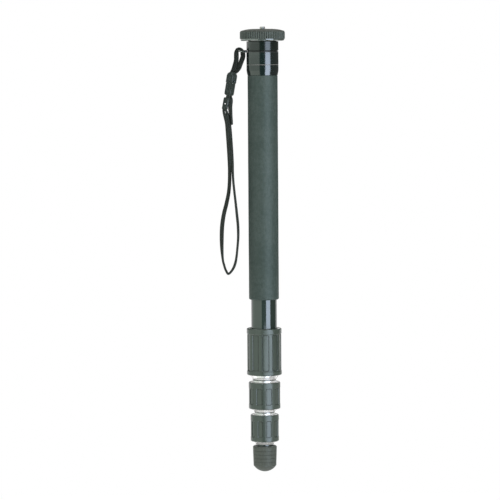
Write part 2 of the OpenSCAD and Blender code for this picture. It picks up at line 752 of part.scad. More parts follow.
// Buckle socket: open at the top for the hanger, at the mouth for the plug and at both sides for its arms
module buckle_socket() {
    mouth_h = tongue_len + strap_room;
    mouth_t = arm_t + 2 * strap_room;
    hanger_pocket_w = 2 * braid_t + hanger_spread;
    color("#26282a")
        on_buckle()
            difference() {
                upright(plate(buckle_w, socket_len, socket_round, socket_edge), buckle_t);
                pocket(hanger_pocket_w, braid_w + 2 * strap_room, over, pocket_depth + over);
                pocket(buckle_w - 2 * socket_wall, mouth_t, mouth_h - socket_len, mouth_h + over);
                pocket(buckle_w + 2 * over, mouth_t, window_low + window_h - socket_len, window_h);
                translate(pinhole_at)
                    rotate([90, 0, 0])
                        cylinder(d = pinhole_d, h = buckle_t, $fn = 32);
            }
}

// Buckle plug: a body with a tongue and two barbed arms inside the socket
module buckle_plug() {
    body_t = buckle_t - 2 * plug_step;
    body = plate(buckle_plug_w, plug_body_len - parting, plug_edge, plug_round);
    web_pocket_w = 2 * web_t + web_spread;
    arm_x = buckle_w / 2 - socket_wall - strap_room - arm_w / 2;
    color("#26282a")
        on_buckle()
            translate([0, 0, -socket_len]) {
                difference() {
                    translate([0, 0, -parting])
                        upright(body, body_t);
                    pocket(web_pocket_w, web_w + 2 * strap_room, pocket_depth - over - plug_body_len,
                        pocket_depth);
                    for (side = [-1, 1])
                        translate([0, side * body_t / 2, 0])
                            pocket(buckle_plug_w - 2 * recess_edge, recess_t, -recess_drop, recess_h);
                }
                pocket(tongue_w, arm_t, tongue_len, tongue_len + arm_root);
                for (side = [-1, 1])
                    translate([side * arm_x, 0, 0]) {
                        pocket(arm_w, arm_t, tongue_len, tongue_len + arm_root);
                        translate([side * barb_out, 0, 0])
                            pocket(arm_w, arm_t, barb_top, barb_h);
                    }
            }
}

module strap_link() {
    color("#1b1c1d")
        cord(link_route, web_w, web_t);
}

// Slider: a short block that both strands of the wrist loop run up into
module strap_slider() {
    color("#303234")
        on_slider()
            difference() {
                upright(plate(slider_w, slider_len, slider_round, slider_round), slider_t);
                pocket(web_w + 2 * strap_room, web_t + link_spread, over, pocket_depth + over);
                pocket(2 * web_t + loop_spread, web_w + 2 * strap_room, slider_pocket_depth - slider_len,
                    slider_pocket_depth + over);
                translate(rivet_at)
                    rotate([90, 0, 0])
                        cylinder(d = rivet_d, h = slider_t + 2 * over, center = true, $fn = 32);
            }
}

module wrist_loop() {
    color("#1b1c1d")
        cord(loop_route, web_w, web_t);
}

module strap_tail() {
    color("#1b1c1d")
        cord(tail_route, web_w, web_t);
}

camera_screw();
platform_pad();
camera_platform();
pivot_washer();
pivot_nut();
thrust_washer();
cap_pins();
head_cap();
neck_collar();
foam_grip();
tube(1);  // tube_1
for (k = locks) {
    lock_base(k);
    collet(k);
    lock_nut(k);
    nut_grip(k);
}
for (k = inner_tubes) {
    guide_bush(k);
    tube(k);
}
rubber_foot();
foot_plug();
strap_ring();
strap_hanger();
buckle_socket();
buckle_plug();
strap_link();
strap_slider();
wrist_loop();
strap_tail();
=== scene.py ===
import json
import math

import bpy
import numpy as np
from mathutils import Matrix, Vector


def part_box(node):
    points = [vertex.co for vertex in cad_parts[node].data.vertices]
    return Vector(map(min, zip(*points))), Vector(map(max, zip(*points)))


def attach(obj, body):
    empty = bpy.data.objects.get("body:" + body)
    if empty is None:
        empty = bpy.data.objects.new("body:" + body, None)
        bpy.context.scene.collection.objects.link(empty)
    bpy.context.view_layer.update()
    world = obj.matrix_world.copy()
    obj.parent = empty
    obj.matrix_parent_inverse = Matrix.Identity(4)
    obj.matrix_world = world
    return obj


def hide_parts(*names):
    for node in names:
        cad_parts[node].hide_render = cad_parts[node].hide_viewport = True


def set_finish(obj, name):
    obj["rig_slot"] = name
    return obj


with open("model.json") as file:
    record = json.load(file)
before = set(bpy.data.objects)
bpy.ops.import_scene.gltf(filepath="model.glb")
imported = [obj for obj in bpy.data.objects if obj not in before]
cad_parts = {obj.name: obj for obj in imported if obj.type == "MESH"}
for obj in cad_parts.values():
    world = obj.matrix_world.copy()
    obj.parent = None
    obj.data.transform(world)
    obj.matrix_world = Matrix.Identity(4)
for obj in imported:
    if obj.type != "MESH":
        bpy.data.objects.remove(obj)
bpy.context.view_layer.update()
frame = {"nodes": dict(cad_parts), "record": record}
scene = bpy.context.scene
scene.view_settings.view_transform = "Standard"
nodes = frame["nodes"]
print("frame loaded:", len(nodes), "CAD nodes")

# Camera: a long lens at the height of the neck, looking a little down
cameraView = {
    "distance": 3.0,
    "eyeHeight": -0.0335,
    "aim": (-0.0150, 0.0, -0.2419),
    "lens": 197.2,
    "sensor": 36.0,
    "clip": (0.05, 50.0),
    "leanDegrees": 0.377,  # how far the pole leans to the left in the picture
}


def makeCamera(v):
    data = bpy.data.cameras.new("productCamera")
    data.lens, data.sensor_width = v["lens"], v["sensor"]
    data.clip_start, data.clip_end = v["clip"]
    camera = bpy.data.objects.new("productCamera", data)
    scene.collection.objects.link(camera)
    aim = Vector(v["aim"])
    eye = Vector((aim.x, -v["distance"], v["eyeHeight"]))
    back = (eye - aim).normalized()
    right = Vector((1, 0, 0))
    up = back.cross(right)
    lean = math.radians(v["leanDegrees"])
    tiltedUp = up * math.cos(lean) + right * math.sin(lean)
    tiltedRight = right * math.cos(lean) - up * math.sin(lean)
    camera.matrix_world = Matrix((
        (tiltedRight.x, tiltedUp.x, back.x, eye.x),
        (tiltedRight.y, tiltedUp.y, back.y, eye.y),
        (tiltedRight.z, tiltedUp.z, back.z, eye.z),
        (0, 0, 0, 1)))
    scene.camera = camera


makeCamera(cameraView)
print("camera set")


# a smooth-shaded mesh that rides on a body of the part
def addPiece(name, points, faces, body, slotName):
    mesh = bpy.data.meshes.new(name)
    mesh.from_pydata([tuple(p) for p in points], [], faces)
    mesh.polygons.foreach_set("use_smooth", [True] * len(faces))
    mesh.update()
    piece = bpy.data.objects.new(name, mesh)
    scene.collection.objects.link(piece)
    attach(piece, body)
    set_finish(piece, slotName)
    return piece


# faces of a grid of rings, each ring closed on itself
def ringFaces(rings, around):
    faces = []
    for i in range(rings - 1):
        low, high = i * around, (i + 1) * around
        for j in range(around):
            k = (j + 1) % around
            faces.append((low + j, low + k, high + k, high + j))
    return faces


# two faces that close the ends of such a grid
def endFaces(rings, around):
    last = (rings - 1) * around
    return [tuple(range(around - 1, -1, -1)), tuple(range(last, last + around))]


# faces that join the last ring of such a grid to its first
def joinFaces(rings, around):
    last = (rings - 1) * around
    return [(last + j, last + (j + 1) % around, (j + 1) % around, j) for j in range(around)]


# Strap routes: millimetres from the end of the bail, with the twist in degrees
bailEnd = np.array([-0.0256, 0.0, -0.02435])
strapRoutes = {
    "hanger": [
        (-9.4, 0, -26, 0), (-8.2, 0, -23.4, 30), (-6, 0, -20, 75), (-4.5, 0, -15.2, 90),
        (-3.1, 0, -10, 90), (-2.9, 0, -5, 85), (-2.8, 0, -1, 50), (-2, 0, 1.7, 15),
        (0, 0, 2.7, 0), (2.2, 0, 1.9, 15), (3.7, 0, -0.4, 45), (4.3, 0, -3.5, 80),
        (4.1, 0, -6.5, 90), (2.7, 0, -10.2, 90), (1.2, 0, -14.2, 90), (-0.4, 0, -18, 85),
        (-2.7, 0, -21, 60), (-5, 0, -23.6, 20), (-5.8, 0, -26.5, 0)],
    "link": [
        (-11.6, -1.25, -45.3, 90), (-11.9, -1.2, -47.9, 90),
        (-12.7, -0.6, -50.8, 90), (-13.9, -0.2, -53.6, 90)],
    "tail": [
        (-10.5, 1.3, -45.6, 90), (-10.5, 1.35, -47.9, 90), (-10.1, 1.2, -50.2, 90),
        (-9.4, 0.9, -52.6, 90), (-9.4, 0.4, -55.2, 90), (-9.8, 0, -58.4, 90),
        (-10, -0.5, -61.6, 85), (-9.8, -1, -65, 60), (-9.2, -1.2, -69, 25),
        (-8.6, -1, -74, 5), (-8.25, -0.6, -80.2, 0)],
    "loop": [
        (-16.7, 0, -59.5, 0), (-17.4, 0, -63, 0), (-17, 0, -66.5, 15), (-15.5, 0, -71.5, 35),
        (-14.05, 0, -79, 32), (-13.3, 0, -88, 36), (-12.5, 0, -100, 38), (-11.8, 0, -112, 38),
        (-11.3, 0.3, -124, 36), (-11.2, 1, -132, 35), (-11.4, 3, -143, 40), (-12.5, 4.5, -155, 45),
        (-15, 5.5, -167, 55), (-18, 6, -179, 65), (-19.8, 6, -191, 80), (-20.4, 6, -203.5, 65),
        (-20.3, 5, -216, 35), (-19.4, 4, -228, 5), (-17.9, 3, -234.5, 0), (-16.2, 2, -239.6, 0),
        (-13.3, 0, -243.6, 0), (-9, -2, -239.4, 10), (-6, -3, -233, 15), (-4.3, -4, -225, 5),
        (-3, -5, -213, 0), (-2.2, -6, -202, 10), (-2.4, -6, -190, 15), (-3.4, -5.5, -179, 15),
        (-4.6, -5, -167, 8), (-5.9, -4, -155, 5), (-7.1, -2.5, -143, 5), (-7.8, -1, -132, 12),
        (-7.95, -0.2, -124, 18), (-8.45, 0, -112, 22), (-9.15, 0, -100, 22), (-9.95, 0, -88, 22),
        (-10.95, 0, -79, 28), (-12, 0, -72, 35), (-13.5, 0, -66.8, 15), (-14.9, 0, -63.3, 0),
        (-14.2, 0, -59.9, 0)],
}

# What both kinds of strap share
strapForm = {
    "samplesPerLeg": 40,
    "fewestPoints": 8,
    "outlineSamples": 2000,
    "middleHeight": 0.7,  # the height of weave that keeps the band's own outline
    "leastEnd": 0.05,
}

# Woven strap: chevron columns all round a flat band
webbing = {
    "width": 0.0046,
    "thick": 0.0025,
    "squareness": 3.2,
    "columns": 14,
    "perColumn": 4,
    "pitch": 0.0016,
    "step": 0.0004,
    "relief": 0.00011,
    "stitchLow": 0.55,
    "stitchRise": 0.45,
}

# Braided strap: two families of strands that cross each other
braid = {
    "width": 0.0053,
    "thick": 0.0034,
    "squareness": 2.5,
    "columns": 8,
    "perColumn": 6,
    "pitch": 0.0034,
    "step": 0.00024,
    "relief": 0.0002,
    "underStrand": 0.55,
}


# smooth curve through a route, in metres, with points evenly spaced along it
def evenRoute(route, step):
    p = np.array(route, float)
    p[:, :3] = p[:, :3] / 1000 + bailEnd
    dense = []
    for i in range(len(p) - 1):
        a, b, c, d = p[max(i - 1, 0)], p[i], p[i + 1], p[min(i + 2, len(p) - 1)]
        for t in np.linspace(0, 1, strapForm["samplesPerLeg"], endpoint=False):
            dense.append(b + ((c - a) * t + (2 * a - 5 * b + 4 * c - d) * t ** 2
                              + (3 * b - a - 3 * c + d) * t ** 3) / 2)
    dense = np.array(dense + [p[-1]])
    gone = np.concatenate([[0], np.cumsum(np.linalg.norm(np.diff(dense[:, :3], axis=0), axis=1))])
    count = max(strapForm["fewestPoints"], int(round(gone[-1] / step)) + 1)
    along = np.linspace(0, gone[-1], count)
    return np.stack([np.interp(along, gone, dense[:, k]) for k in range(4)], axis=1), along


# outline of a rounded flat section as (across, through) pairs, evenly spaced round it
def bandOutline(v, count):
    a = np.linspace(0, 2 * np.pi, strapForm["outlineSamples"])
    e = 2 / v["squareness"]
    x = np.sign(np.cos(a)) * np.abs(np.cos(a)) ** e * v["width"] / 2
    y = np.sign(np.sin(a)) * np.abs(np.sin(a)) ** e * v["thick"] / 2
    gone = np.concatenate([[0], np.cumsum(np.hypot(np.diff(x), np.diff(y)))])
    at = np.linspace(0, gone[-1], count, endpoint=False)
    return np.interp(at, gone, x), np.interp(at, gone, y)


def chevronHeight(share, along, v):
    column = share * v["columns"]
    across = np.sin(np.pi * (column % 1.0))
    lean = along / v["pitch"] + 0.5 * (np.floor(column) % 2)
    return np.sqrt(across) * (v["stitchLow"] + v["stitchRise"] * np.abs(np.sin(np.pi * lean)))


def plaitHeight(share, along, v):
    turn = share * v["columns"]
    lay = along / v["pitch"]
    right = np.abs(np.cos(np.pi * (turn + lay)))
    left = np.abs(np.cos(np.pi * (turn - lay)))
    over = (np.floor(turn + lay + 0.5) + np.floor(turn - lay + 0.5)) % 2
    under = v["underStrand"]
    return np.where(over > 0, np.maximum(right, under * left), np.maximum(left, under * right))


def makeStrap(name, route, v, height, slotName):
    points, along = evenRoute(route, v["step"])
    count = v["columns"] * v["perColumn"]
    across, through = bandOutline(v, count)
    share = np.arange(count) / count
    place = points[:, :3]
    tangent = np.gradient(place, axis=0)
    tangent /= np.linalg.norm(tangent, axis=1)[:, None]
    side = np.cross([0.0, 1.0, 0.0], tangent)
    side /= np.linalg.norm(side, axis=1)[:, None]
    face = np.cross(tangent, side)
    twist = np.radians(points[:, 3])[:, None]
    wide = face * np.cos(twist) + side * np.sin(twist)
    deep = side * np.cos(twist) - face * np.sin(twist)
    rise = height(share[None, :], along[:, None], v)
    grow = 1 + (rise - strapForm["middleHeight"]) * v["relief"] / np.hypot(across, through)[None, :]
    ends = np.minimum(along, along[-1] - along) / (v["thick"] * 0.5)  # sealed, rounded ends
    grow = grow * np.sqrt(np.clip(1 - np.clip(1 - ends, 0, 1) ** 2, strapForm["leastEnd"], 1))[:, None]
    verts = (place[:, None, :] + wide[:, None, :] * (across[None, :] * grow)[:, :, None]
             + deep[:, None, :] * (through[None, :] * grow)[:, :, None]).reshape(-1, 3)
    faces = ringFaces(len(place), count) + endFaces(len(place), count)
    strap = addPiece(name, verts, faces, "strap", slotName)
    weave = strap.data.attributes.new("weave", "FLOAT_VECTOR", "POINT")
    flat = np.stack([np.repeat(along, count), np.tile(share, len(along)), rise.ravel()], axis=1)
    weave.data.foreach_set("vector", flat.astype(np.float32).ravel())
    return strap, place


hanger, hangerLine = makeStrap("hangerBraid", strapRoutes["hanger"], braid, plaitHeight, "strap_braid")
loop, loopLine = makeStrap("wristLoopWeb", strapRoutes["loop"], webbing, chevronHeight, "strap_webbing")
tail, tailLine = makeStrap("freeTailWeb", strapRoutes["tail"], webbing, chevronHeight, "strap_webbing")
link = makeStrap("linkWeb", strapRoutes["link"], webbing, chevronHeight, "strap_webbing")[0]
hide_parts("strap_hanger")
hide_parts("wrist_loop")
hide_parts("strap_tail")
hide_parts("strap_link")


def lineLength(line):
    return float(np.linalg.norm(np.diff(line, axis=0), axis=1).sum())


lineLength(hangerLine)
lineLength(loopLine)
lineLength(tailLine)
print("straps:", [round(lineLength(line), 4) for line in (hangerLine, loopLine, tailLine)])

# Camera screw with its quarter-inch thread, hex flange and shank
cameraScrew = {
    "radius": 0.003175,
    "core": 0.00255,
    "pitch": 0.00127,
    "crestTop": 1.35,
    "crestSlope": 1.7,
    "top": 0.0026,
    "tip": 0.0009,
    "tipStep": 0.0002,
    "threadFoot": 0.0001,
    "leadIn": 0.0005,
    "undercut": 0.0003,
    "neckRadius": 0.002875,
    "flangeTop": -0.0030,
    "flangeLow": -0.0060,
    "flangeRadius": 0.0080,
    "bevel": 0.0004,
    "bevelShrink": 0.95,
    "shankRadius": 0.0040,
    "shankLow": -0.0298,
    "shankRows": 3,
    "rowStep": 0.00007,
    "around": 72,
}


def makeScrew(v):
    around = v["around"]
    turn = np.arange(around) / around
    rows = []
    for z in np.linspace(v["shankLow"], v["flangeLow"], v["shankRows"]):
        rows.append((z, np.full(around, v["shankRadius"])))
    corner = np.cos(np.pi / 6) / np.cos((turn * 2 * np.pi) % (np.pi / 3) - np.pi / 6)
    low, top, bevel, shrunk = v["flangeLow"], v["flangeTop"], v["bevel"], v["bevelShrink"]
    for z, shrink in ((low, shrunk), (low + bevel, 1), (top - bevel, 1), (top, shrunk)):
        rows.append((z, v["flangeRadius"] * corner * shrink))
    for z in (top, v["threadFoot"] - v["undercut"]):
        rows.append((z, np.full(around, v["neckRadius"])))
    for z in np.arange(v["threadFoot"], v["top"], v["rowStep"]):
        phase = (z / v["pitch"] - turn) % 1.0
        crest = np.clip(v["crestTop"] - np.abs(2 * phase - 1) * v["crestSlope"], 0, 1)
        r = v["core"] + (v["radius"] - v["core"]) * crest
        lead = np.clip((z - v["threadFoot"]) / v["leadIn"], 0, 1)
        r = v["neckRadius"] * (1 - lead) + r * lead
        cone = v["radius"] - v["tip"] * np.clip((z - v["top"] + v["tip"]) / v["tip"], 0, 1)
        rows.append((z, np.minimum(r, cone)))
    rows.append((v["top"], np.full(around, v["radius"] - v["tip"] - v["tipStep"])))
    verts = [(r[j] * math.cos(2 * math.pi * turn[j]), r[j] * math.sin(2 * math.pi * turn[j]), z)
             for z, r in rows for j in range(around)]
    faces = ringFaces(len(rows), around) + endFaces(len(rows), around)
    screw = addPiece("threadedScrew", verts, faces, "head", "screw_steel")
    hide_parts("camera_screw")
    return screw


screw = makeScrew(cameraScrew)
print("camera screw threaded")

# Rubber sleeves on the two legs of the bail, between the neck and the hanger
bailSleeves = {
    "names": {-1: "bailSleeveFront", 1: "bailSleeveBack"},
    "radius": 0.0014,
    "taper": 0.4,
    "taperPower": 6,
    "from": -0.0171,
    "to": -0.0219,
    "half": 0.0032,
    "height": -0.02435,
    "rows": 9,
    "around": 24,
}


def makeSleeves(v):
    around = v["around"]
    angle = 2 * np.pi * np.arange(around) / around
    pieces = []
    for side, name in v["names"].items():
        verts = []
        for t in np.linspace(0, 1, v["rows"]):
            x = v["from"] + (v["to"] - v["from"]) * t
            r = v["radius"] * (1 - v["taper"] * abs(2 * t - 1) ** v["taperPower"])
            verts += [(x, side * v["half"] + r * math.sin(a), v["height"] + r * math.cos(a)) for a in angle]
        faces = ringFaces(v["rows"], around) + endFaces(v["rows"], around)
        pieces.append(addPiece(name, verts, faces, "strap", "neck_gloss"))
    return pieces


sleeves = makeSleeves(bailSleeves)
print("bail sleeves made")

# Top centre (x, z) and lean in degrees of the buckle and the slider
buckleSeat = {"top": (-0.0327, -0.04685), "lean": 9.7}
sliderSeat = {"top": (-0.0393, -0.07465), "lean": 10.7}
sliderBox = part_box("strap_slider")

# Low moulded ribs on both faces of the buckle and the slider, each with its run down from the top
buckleRibs = {
    "runs": [
        {**buckleSeat, "across": 0.0008, "from": 0.0026, "to": 0.0116, "face": 0.0035},
        {**buckleSeat, "across": 0.0009, "from": 0.0195, "to": 0.0248, "face": 0.0033},
        {**sliderSeat, "across": 0.0017, "from": 0.0010, "to": 0.0110, "face": sliderBox[1][1]},
    ],
    "halfWide": 0.0009,
    "proud": 0.0006,
    "swellPower": 5,
    "leastSwell": 0.02,
    "rows": 15,
    "around": 16,
}

# Painted shade: a black ring round the pinhole in the front of the buckle, standing in for the dark inside
# the buckle's window
pinholeShadeRing = {
    **buckleSeat,
    "across": 0.0029,
    "down": 0.0091,
    "face": 0.0035,
    "bore": 0.00076,
    "radius": 0.0014,
    "proud": 0.00008,
    "edge": 0.00003,
    "around": 40,
}


# a point across and down a leaning plate, with y towards the viewer negative
def onPlate(seat, across, down, y):
    a = math.radians(seat["lean"])
    x, z = seat["top"]
    return (x + across * math.cos(a) - down * math.sin(a), y,
            z - across * math.sin(a) - down * math.cos(a))


def makeRibs(v):
    verts, faces = [], []
    around = v["around"]
    for run in v["runs"]:
        for side in (-1, 1):
            start = len(verts)
            for t in np.linspace(0, 1, v["rows"]):
                down = run["from"] + (run["to"] - run["from"]) * t
                swell = math.sqrt(max(1 - abs(2 * t - 1) ** v["swellPower"], v["leastSwell"]))
                for j in range(around):
                    a = -side * 2 * math.pi * j / around
                    across = run["across"] + v["halfWide"] * swell * math.cos(a)
                    y = side * (run["face"] + v["proud"] * swell * math.sin(a))
                    verts.append(onPlate(run, across, down, y))
            rib = ringFaces(v["rows"], around) + endFaces(v["rows"], around)
            faces += [tuple(start + i for i in f) for f in rib]
    return addPiece("buckleRibs", verts, faces, "strap", "buckle_plastic")


def makePinholeShade(v):
    around = v["around"]
    low, high = v["face"] - v["proud"], v["face"] + v["proud"]
    outline = [(v["bore"], low), (v["bore"], high - v["edge"]), (v["bore"] + v["edge"], high),
               (v["radius"] - v["edge"], high), (v["radius"], high - v["edge"]), (v["radius"], low)]
    verts = []
    for r, out in outline:
        for j in range(around):
            a = 2 * math.pi * j / around
            verts.append(onPlate(v, v["across"] + r * math.cos(a), v["down"] + r * math.sin(a), -out))
    faces = ringFaces(len(outline), around) + joinFaces(len(outline), around)
    return addPiece("pinholeShadeRing", verts, faces, "strap", "neck_gloss")


ribs = makeRibs(buckleRibs)
pinholeShade = makePinholeShade(pinholeShadeRing)
print("buckle ribs and eyelet made")

# Foam sleeve: soft rounded ends and a faintly uneven wall
foamSleeve = {
    "radius": 0.0165,
    "bore": 0.01415,
    "top": -0.0505,
    "low": -0.2963,
    "topEdge": [(0.0009, 0), (0.0004, 0.0001), (0.0001, 0.0004)],  # (in, down) from the upper corner
    "topDepth": 0.0009,
    "edge": 0.0016,
    "edgeRows": 8,
    "uneven": 0.00007,
    "waves": [(3, 61, 0), (2, -37, 1.3), (5, 140, 0.4)],  # (times round, per metre, phase)
    "around": 144,
    "rows": 220,
}


def makeFoam(v):
    around = v["around"]
    angle = 2 * np.pi * np.arange(around) / around
    outline = [(v["bore"], v["top"])]
    outline += [(v["radius"] - inward, v["top"] - down) for inward, down in v["topEdge"]]
    for z in np.linspace(v["top"] - v["topDepth"], v["low"] + v["edge"], v["rows"]):
        outline.append((v["radius"], z))
    for a in np.linspace(0, np.pi / 2, v["edgeRows"])[1:]:
        outline.append((v["radius"] - v["edge"] * (1 - math.cos(a)),
                        v["low"] + v["edge"] * (1 - math.sin(a))))
    outline.append((v["bore"], v["low"]))
    verts = []
    for r, z in outline:
        wave = sum(np.sin(n * angle + z * k + phase) for n, k, phase in v["waves"]) / len(v["waves"])
        rr = r + (wave - 1) * v["uneven"] * (r > v["bore"])
        verts += [(rr[j] * math.cos(angle[j]), rr[j] * math.sin(angle[j]), z) for j in range(around)]
    faces = [tuple(reversed(f)) for f in ringFaces(len(outline), around)]
    faces += joinFaces(len(outline), around)
    sleeve = addPiece("foamSleeve", verts, faces, "upper_section", "grip_foam")
    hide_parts("foam_grip")
    return sleeve


foam = makeFoam(foamSleeve)
print("foam sleeve made")


# A socket of a shader: sums on values add Math nodes, and make() adds any other node
class Shade:
    def __init__(self, tree, socket=None):
        self.tree = tree
        self.socket = socket

    def make(self, kind, settings=None, inputs=None, out=0):
        node = self.tree.nodes.new("ShaderNode" + kind)
        for key, value in (settings or {}).items():
            setattr(node, key, value)
        for key, value in (inputs or {}).items():
            if isinstance(value, Shade):
                self.tree.links.new(value.socket, node.inputs[key])
            else:
                node.inputs[key].default_value = value
        return Shade(self.tree, node.outputs[out])

    def sum(self, operation, a, b=0.0):
        return self.make("Math", {"operation": operation}, {0: a, 1: b})

    def __add__(self, other):
        return self.sum("ADD", self, other)

    def __radd__(self, other):
        return self.sum("ADD", other, self)

    def __sub__(self, other):
        return self.sum("SUBTRACT", self, other)

    def __rsub__(self, other):
        return self.sum("SUBTRACT", other, self)

    def __mul__(self, other):
        return self.sum("MULTIPLY", self, other)

    def __rmul__(self, other):
        return self.sum("MULTIPLY", other, self)

    def __truediv__(self, other):
        return self.sum("DIVIDE", self, other)

    def __pow__(self, other):
        return self.sum("POWER", self, other)

    def absolute(self):
        return self.sum("ABSOLUTE", self)

    # ridges of one pitch, 0 in the valleys and 1 on the crests
    def ridges(self, pitch):
        return self.sum("PINGPONG", self, pitch / 2) / (pitch / 2)

    def between(self, low, high):
        return self.make("MapRange", {"interpolation_type": "SMOOTHSTEP"},
                         {"Value": self, "From Min": low, "From Max": high})

    def axis(self, index):
        return self.make("SeparateXYZ", None, {0: self}, out=index)

    def noise(self, scale, detail=2.0, rough=0.5):
        return self.make("TexNoise", None,
                         {"Vector": self, "Scale": scale, "Detail": detail, "Roughness": rough})

    def cells(self, scale):
        return self.make("TexVoronoi", None, {"Vector": self, "Scale": scale})

    def stretch(self, x, y, z):
        return self.make("VectorMath", {"operation": "MULTIPLY"}, {0: self, 1: (x, y, z)})

    def mix(self, a, b):
        return self.make("Mix", {"data_type": "RGBA", "clamp_factor": True}, {0: self, 6: a, 7: b}, out=2)


def rgb(colour):
    return (*colour, 1.0)


# a material with its fixed values set, and the object's own coordinates to start from
def startFinish(name, fixed):
    material = bpy.data.materials.new(name)
    material.use_nodes = True
    tree = material.node_tree
    shader = tree.nodes["Principled BSDF"]
    for key, value in fixed.items():
        shader.inputs[key].default_value = value
    place = Shade(tree).make("TexCoord", out=3)
    return material, shader, place


inputNames = {
    "colour": "Base Color",
    "rough": "Roughness",
    "metal": "Metallic",
    "coat": "Coat Weight",
    "normal": "Normal",
}


def feed(shader, **links):
    for key, shade in links.items():
        shade.tree.links.new(shade.socket, shader.inputs[inputNames[key]])


def bump(height, distance, strength, normal=None):
    inputs = {"Height": height, "Distance": distance, "Strength": strength}
    if normal is not None:
        inputs["Normal"] = normal
    return height.make("Bump", None, inputs)


noiseMiddle = 0.5
cornerSamples = {"openness": 8, "edge": 6}


# how open a surface is to the light: 1 on flats, less in corners and recesses
def openness(place, reach):
    samples = cornerSamples["openness"]
    return place.make("AmbientOcclusion", {"samples": samples}, {"Distance": reach}, out=1)


# the normal with its edges rounded over, and a mask: 0 on flats, up to 1 on sharp corners
def edgeMask(place, radius, gain):
    soft = place.make("Bevel", {"samples": cornerSamples["edge"]}, {"Radius": radius})
    hard = place.make("NewGeometry", out=1)
    same = place.make("VectorMath", {"operation": "DOT_PRODUCT"}, {0: soft, 1: hard}, out=1)
    return soft, ((1 - same) * gain).between(0.0, 1.0)


# In each finish, a noise is (scale, detail, roughness), a bump (distance, strength) and a range (low, high)
foamFinish = {
    "colour": (0.045, 0.067, 0.06),
    "pale": (0.074, 0.1, 0.091),
    "ior": 1.36,
    "pores": 900.0,
    "grain": (720.0, 3.0, 0.6),
    "patch": (260.0, 3.0, 0.6),
    "cloud": (38.0, 3.0),
    "grainColour": 0.3,
    "patchColour": 0.4,
    "cloudColour": 0.3,
    "mottleRange": (0.36, 0.66),
    "roughness": 0.46,
    "grainRough": 0.14,
    "poreHeight": 0.6,
    "grainHeight": 0.7,
    "bump": (0.00016, 0.75),
}


def makeFoamFinish(v):
    material, shader, place = startFinish("closedCellFoam", {"IOR": v["ior"]})
    pores = place.cells(v["pores"])
    grain = place.noise(*v["grain"])
    cloud = place.noise(*v["cloud"])
    patch = place.noise(*v["patch"])
    mottle = grain * v["grainColour"] + patch * v["patchColour"] + cloud * v["cloudColour"]
    feed(shader,
         colour=mottle.between(*v["mottleRange"]).mix(rgb(v["colour"]), rgb(v["pale"])),
         rough=v["roughness"] + grain * v["grainRough"],
         normal=bump(pores * v["poreHeight"] + grain * v["grainHeight"], *v["bump"]))
    return material


# Gloss black: fine lines drawn along the tube or turned round the neck and cap, and dust in the roughness
glossDetail = {
    "dust": (2100.0, 4.0, 0.7),
    "dustRange": (0.62, 0.78),
    "dustColour": 0.5,
    "dustRough": 0.08,
    "smearStretch": (60, 60, 9),
    "smear": (1.0, 3.0),
    "smearColour": 0.3,
    "smearRange": (0.5, 0.8),
    "smearRough": 0.05,
    "lineRough": 0.07,
    "lineStrength": 0.6,
    "cutRange": (0.00022, 0.00034),
    # width and share of the painted highlight along the neck's top edge
    "highlightRange": (0.00012, 0.0003),
    "highlightShare": 0.35,
}

tubeFinish = {
    "colour": (0.031, 0.047, 0.04),
    "worn": (0.051, 0.067, 0.059),
    "ior": 1.84,
    "roughness": 0.06,
    "lineStretch": (2600, 2600, 26),
    "line": (1.0, 2.0),
    "lineDepth": 0.000012,
}

neckFinish = {
    "colour": (0.008, 0.0135, 0.0125),
    "worn": (0.024, 0.03, 0.028),
    "ior": 1.94,
    "roughness": 0.11,
    "lineStretch": (20, 20, 1500),
    "line": (1.0, 3.0),
    "lineDepth": 0.00002,
    "cut": (0.27, 0.27, 0.26),
    "cutHeight": -0.0391,
    # height of the painted highlight along the neck's top bevel
    "topEdge": -0.0253,
}

capFinish = {
    "colour": (0.01, 0.015, 0.0125),
    "worn": (0.032, 0.038, 0.034),
    "ior": 1.6,
    "roughness": 0.13,
    "lineStretch": (20, 20, 1500),
    "line": (1.0, 3.0),
    "lineDepth": 0.0001,
}


def makeGlossBlack(name, v, d):
    material, shader, place = startFinish(name, {"IOR": v["ior"]})
    lines = place.stretch(*v["lineStretch"]).noise(*v["line"])
    dust = place.noise(*d["dust"]).between(*d["dustRange"])
    smear = place.stretch(*d["smearStretch"]).noise(*d["smear"])
    wear = dust * d["dustColour"] + (smear - noiseMiddle) * d["smearColour"]
    colour = wear.mix(rgb(v["colour"]), rgb(v["worn"]))
    if "cut" in v:  # a fine turned line, paler than the gloss, and a painted highlight along the top edge where its bevel catches the light
        z = place.axis(2)
        cut = 1 - (z - v["cutHeight"]).absolute().between(*d["cutRange"])
        # painted highlight: a pale line along the neck's top edge
        cut = cut + (1 - (z - v["topEdge"]).absolute().between(*d["highlightRange"])) * d["highlightShare"]
        colour = cut.mix(colour, rgb(v["cut"]))
    smeared = smear.between(*d["smearRange"])
    feed(shader,
         colour=colour,
         rough=v["roughness"] + lines * d["lineRough"] + smeared * d["smearRough"] + dust * d["dustRough"],
         normal=bump(lines, v["lineDepth"], d["lineStrength"]))
    return material


platformFinish = {
    "colour": (0.073, 0.092, 0.08),
    # worn is the pale of the crests, partly wear and partly painted highlight; deep is the colour of the
    # painted shade in the grooves
    "worn": (0.46, 0.49, 0.465),
    "deep": (0.004, 0.006, 0.0055),
    "ior": 1.45,
    "coatIor": 2.0,
    "coatRoughness": 0.1,
    "bandTop": -0.0108,
    "bandFade": 0.0002,
    "edge": (0.00022, 9.0),  # radius and gain of the edge mask
    "grain": (3600.0, 3.0, 0.6),
    "rub": (240.0, 4.0, 0.65),
    "rubRange": (0.42, 0.7),
    "rubWear": 0.6,
    "leastWear": 0.35,
    "grainColour": 0.12,
    "reach": 0.0014,
    "openRange": (0.68, 0.97),
    "roughness": 0.45,
    "grainRough": 0.12,
    "wornSmooth": 0.1,
    "bump": (0.00003, 0.5),
}
